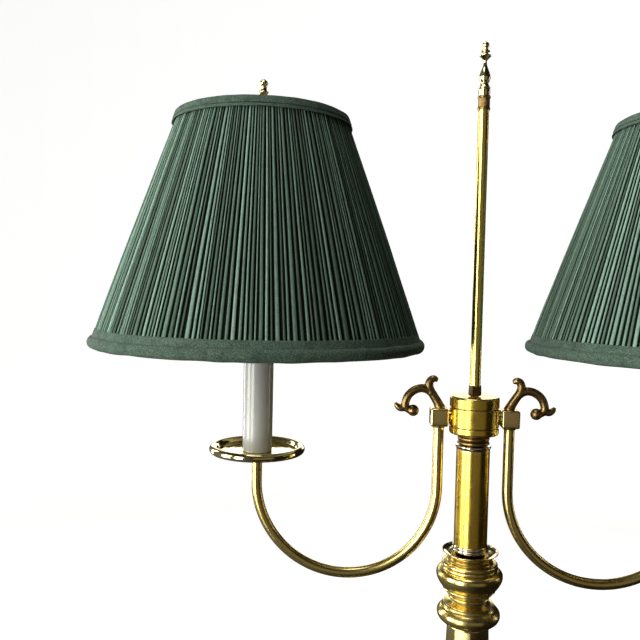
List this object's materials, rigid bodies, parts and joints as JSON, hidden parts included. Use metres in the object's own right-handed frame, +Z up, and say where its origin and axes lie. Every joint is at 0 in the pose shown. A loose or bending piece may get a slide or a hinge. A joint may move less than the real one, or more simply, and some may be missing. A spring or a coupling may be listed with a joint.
{
  "type": "pharmacy floor lamp",
  "caption": "Two-arm brass floor lamp with U-shaped arms, candle sleeves, pleated cone shades, a centre rod with finial and an octagonal column on a round base.",
  "frame": {"origin": "centre of the base on the floor", "axes": "+Z up the column, X along the two arms, front towards -Y"},
  "size_m": [0.8172, 0.3556, 1.5187],
  "materials": {
    "antique_brass": "lacquered antique brass, satin, darker in the joints",
    "polished_brass": "bright polished brass",
    "dark_bronze": "brown antiqued cast brass, worn brighter on the edges",
    "dark_nut": "dark brown patinated brass",
    "bright_ring": "bright pale metal",
    "steel": "zinc-plated steel",
    "iron": "rough black iron",
    "felt": "green felt",
    "black_plastic": "black moulded plastic",
    "candle_sleeve": "ivory white, glossy",
    "bulb_glass": "frosted",
    "pleated_cloth": "dark green pleated cloth",
    "trim_cloth": "green folded tape"
  },
  "bodies": {
    "root": {"felt_pad": "felt", "base_shell": "antique_brass", "base_collar": "antique_brass", "lower_octagonal_shaft": "antique_brass", "middle_low_knob": "antique_brass", "middle_neck": "antique_brass", "middle_high_knob": "antique_brass", "upper_octagonal_shaft": "antique_brass", "top_low_knob": "antique_brass", "top_neck": "antique_brass", "top_high_knob": "antique_brass", "top_collar": "antique_brass", "check_plate": "polished_brass", "stem_tube": "antique_brass", "stem_top_ring": "bright_ring", "lock_ring_lower": "dark_bronze", "lock_ring_upper": "dark_bronze", "stem_foot_bead": "bright_ring", "base_weight": "iron", "base_washer": "steel", "base_nut": "steel", "threaded_pipe": "steel", "cord_grommet": "black_plastic"},
    "cluster": {"cluster_foot_cap": "antique_brass", "cluster_body": "antique_brass", "cluster_top_cap": "antique_brass", "rod_coupling": "dark_nut", "centre_rod": "polished_brass", "rod_collar": "dark_bronze", "rod_finial": "polished_brass", "arm_block_right": "antique_brass", "scroll_right": "dark_bronze", "arm_tube_right": "antique_brass", "drip_dish_right": "polished_brass", "candle_sleeve_right": "candle_sleeve", "harp_saddle_right": "polished_brass", "harp_right": "polished_brass", "lamp_socket_right": "polished_brass", "bulb_right": "bulb_glass", "shade_finial_right": "polished_brass", "arm_block_left": "antique_brass", "scroll_left": "dark_bronze", "arm_tube_left": "antique_brass", "drip_dish_left": "polished_brass", "candle_sleeve_left": "candle_sleeve", "harp_saddle_left": "polished_brass", "harp_left": "polished_brass", "lamp_socket_left": "polished_brass", "bulb_left": "bulb_glass", "shade_finial_left": "polished_brass"},
    "shade_right": {"shade_frame_right": "polished_brass", "shade_cover_right": "pleated_cloth", "shade_top_trim_right": "trim_cloth", "shade_bottom_trim_right": "trim_cloth"},
    "switch_right": {"switch_key_right": "black_plastic"},
    "shade_left": {"shade_frame_left": "polished_brass", "shade_cover_left": "pleated_cloth", "shade_top_trim_left": "trim_cloth", "shade_bottom_trim_left": "trim_cloth"},
    "switch_left": {"switch_key_left": "black_plastic"}
  },
  "joints": [
    {"name": "cluster_swivel", "type": "hinge", "parent": "root", "child": "cluster", "pos_m": [0, 0, 1.1079], "axis": [0, 0, 1], "range_deg": [-170, 170]},
    {"name": "shade_turn_right", "type": "hinge", "parent": "cluster", "child": "shade_right", "pos_m": [0.2308, 0, 1.43], "axis": [0, 0, 1], "continuous": true},
    {"name": "switch_turn_right", "type": "hinge", "parent": "cluster", "child": "switch_right", "pos_m": [0.2481, 0, 1.2487], "axis": [1, 0, 0], "continuous": true},
    {"name": "shade_turn_left", "type": "hinge", "parent": "cluster", "child": "shade_left", "pos_m": [-0.2308, 0, 1.43], "axis": [0, 0, 1], "continuous": true},
    {"name": "switch_turn_left", "type": "hinge", "parent": "cluster", "child": "switch_left", "pos_m": [-0.2481, 0, 1.2487], "axis": [-1, 0, 0], "continuous": true}
  ]
}
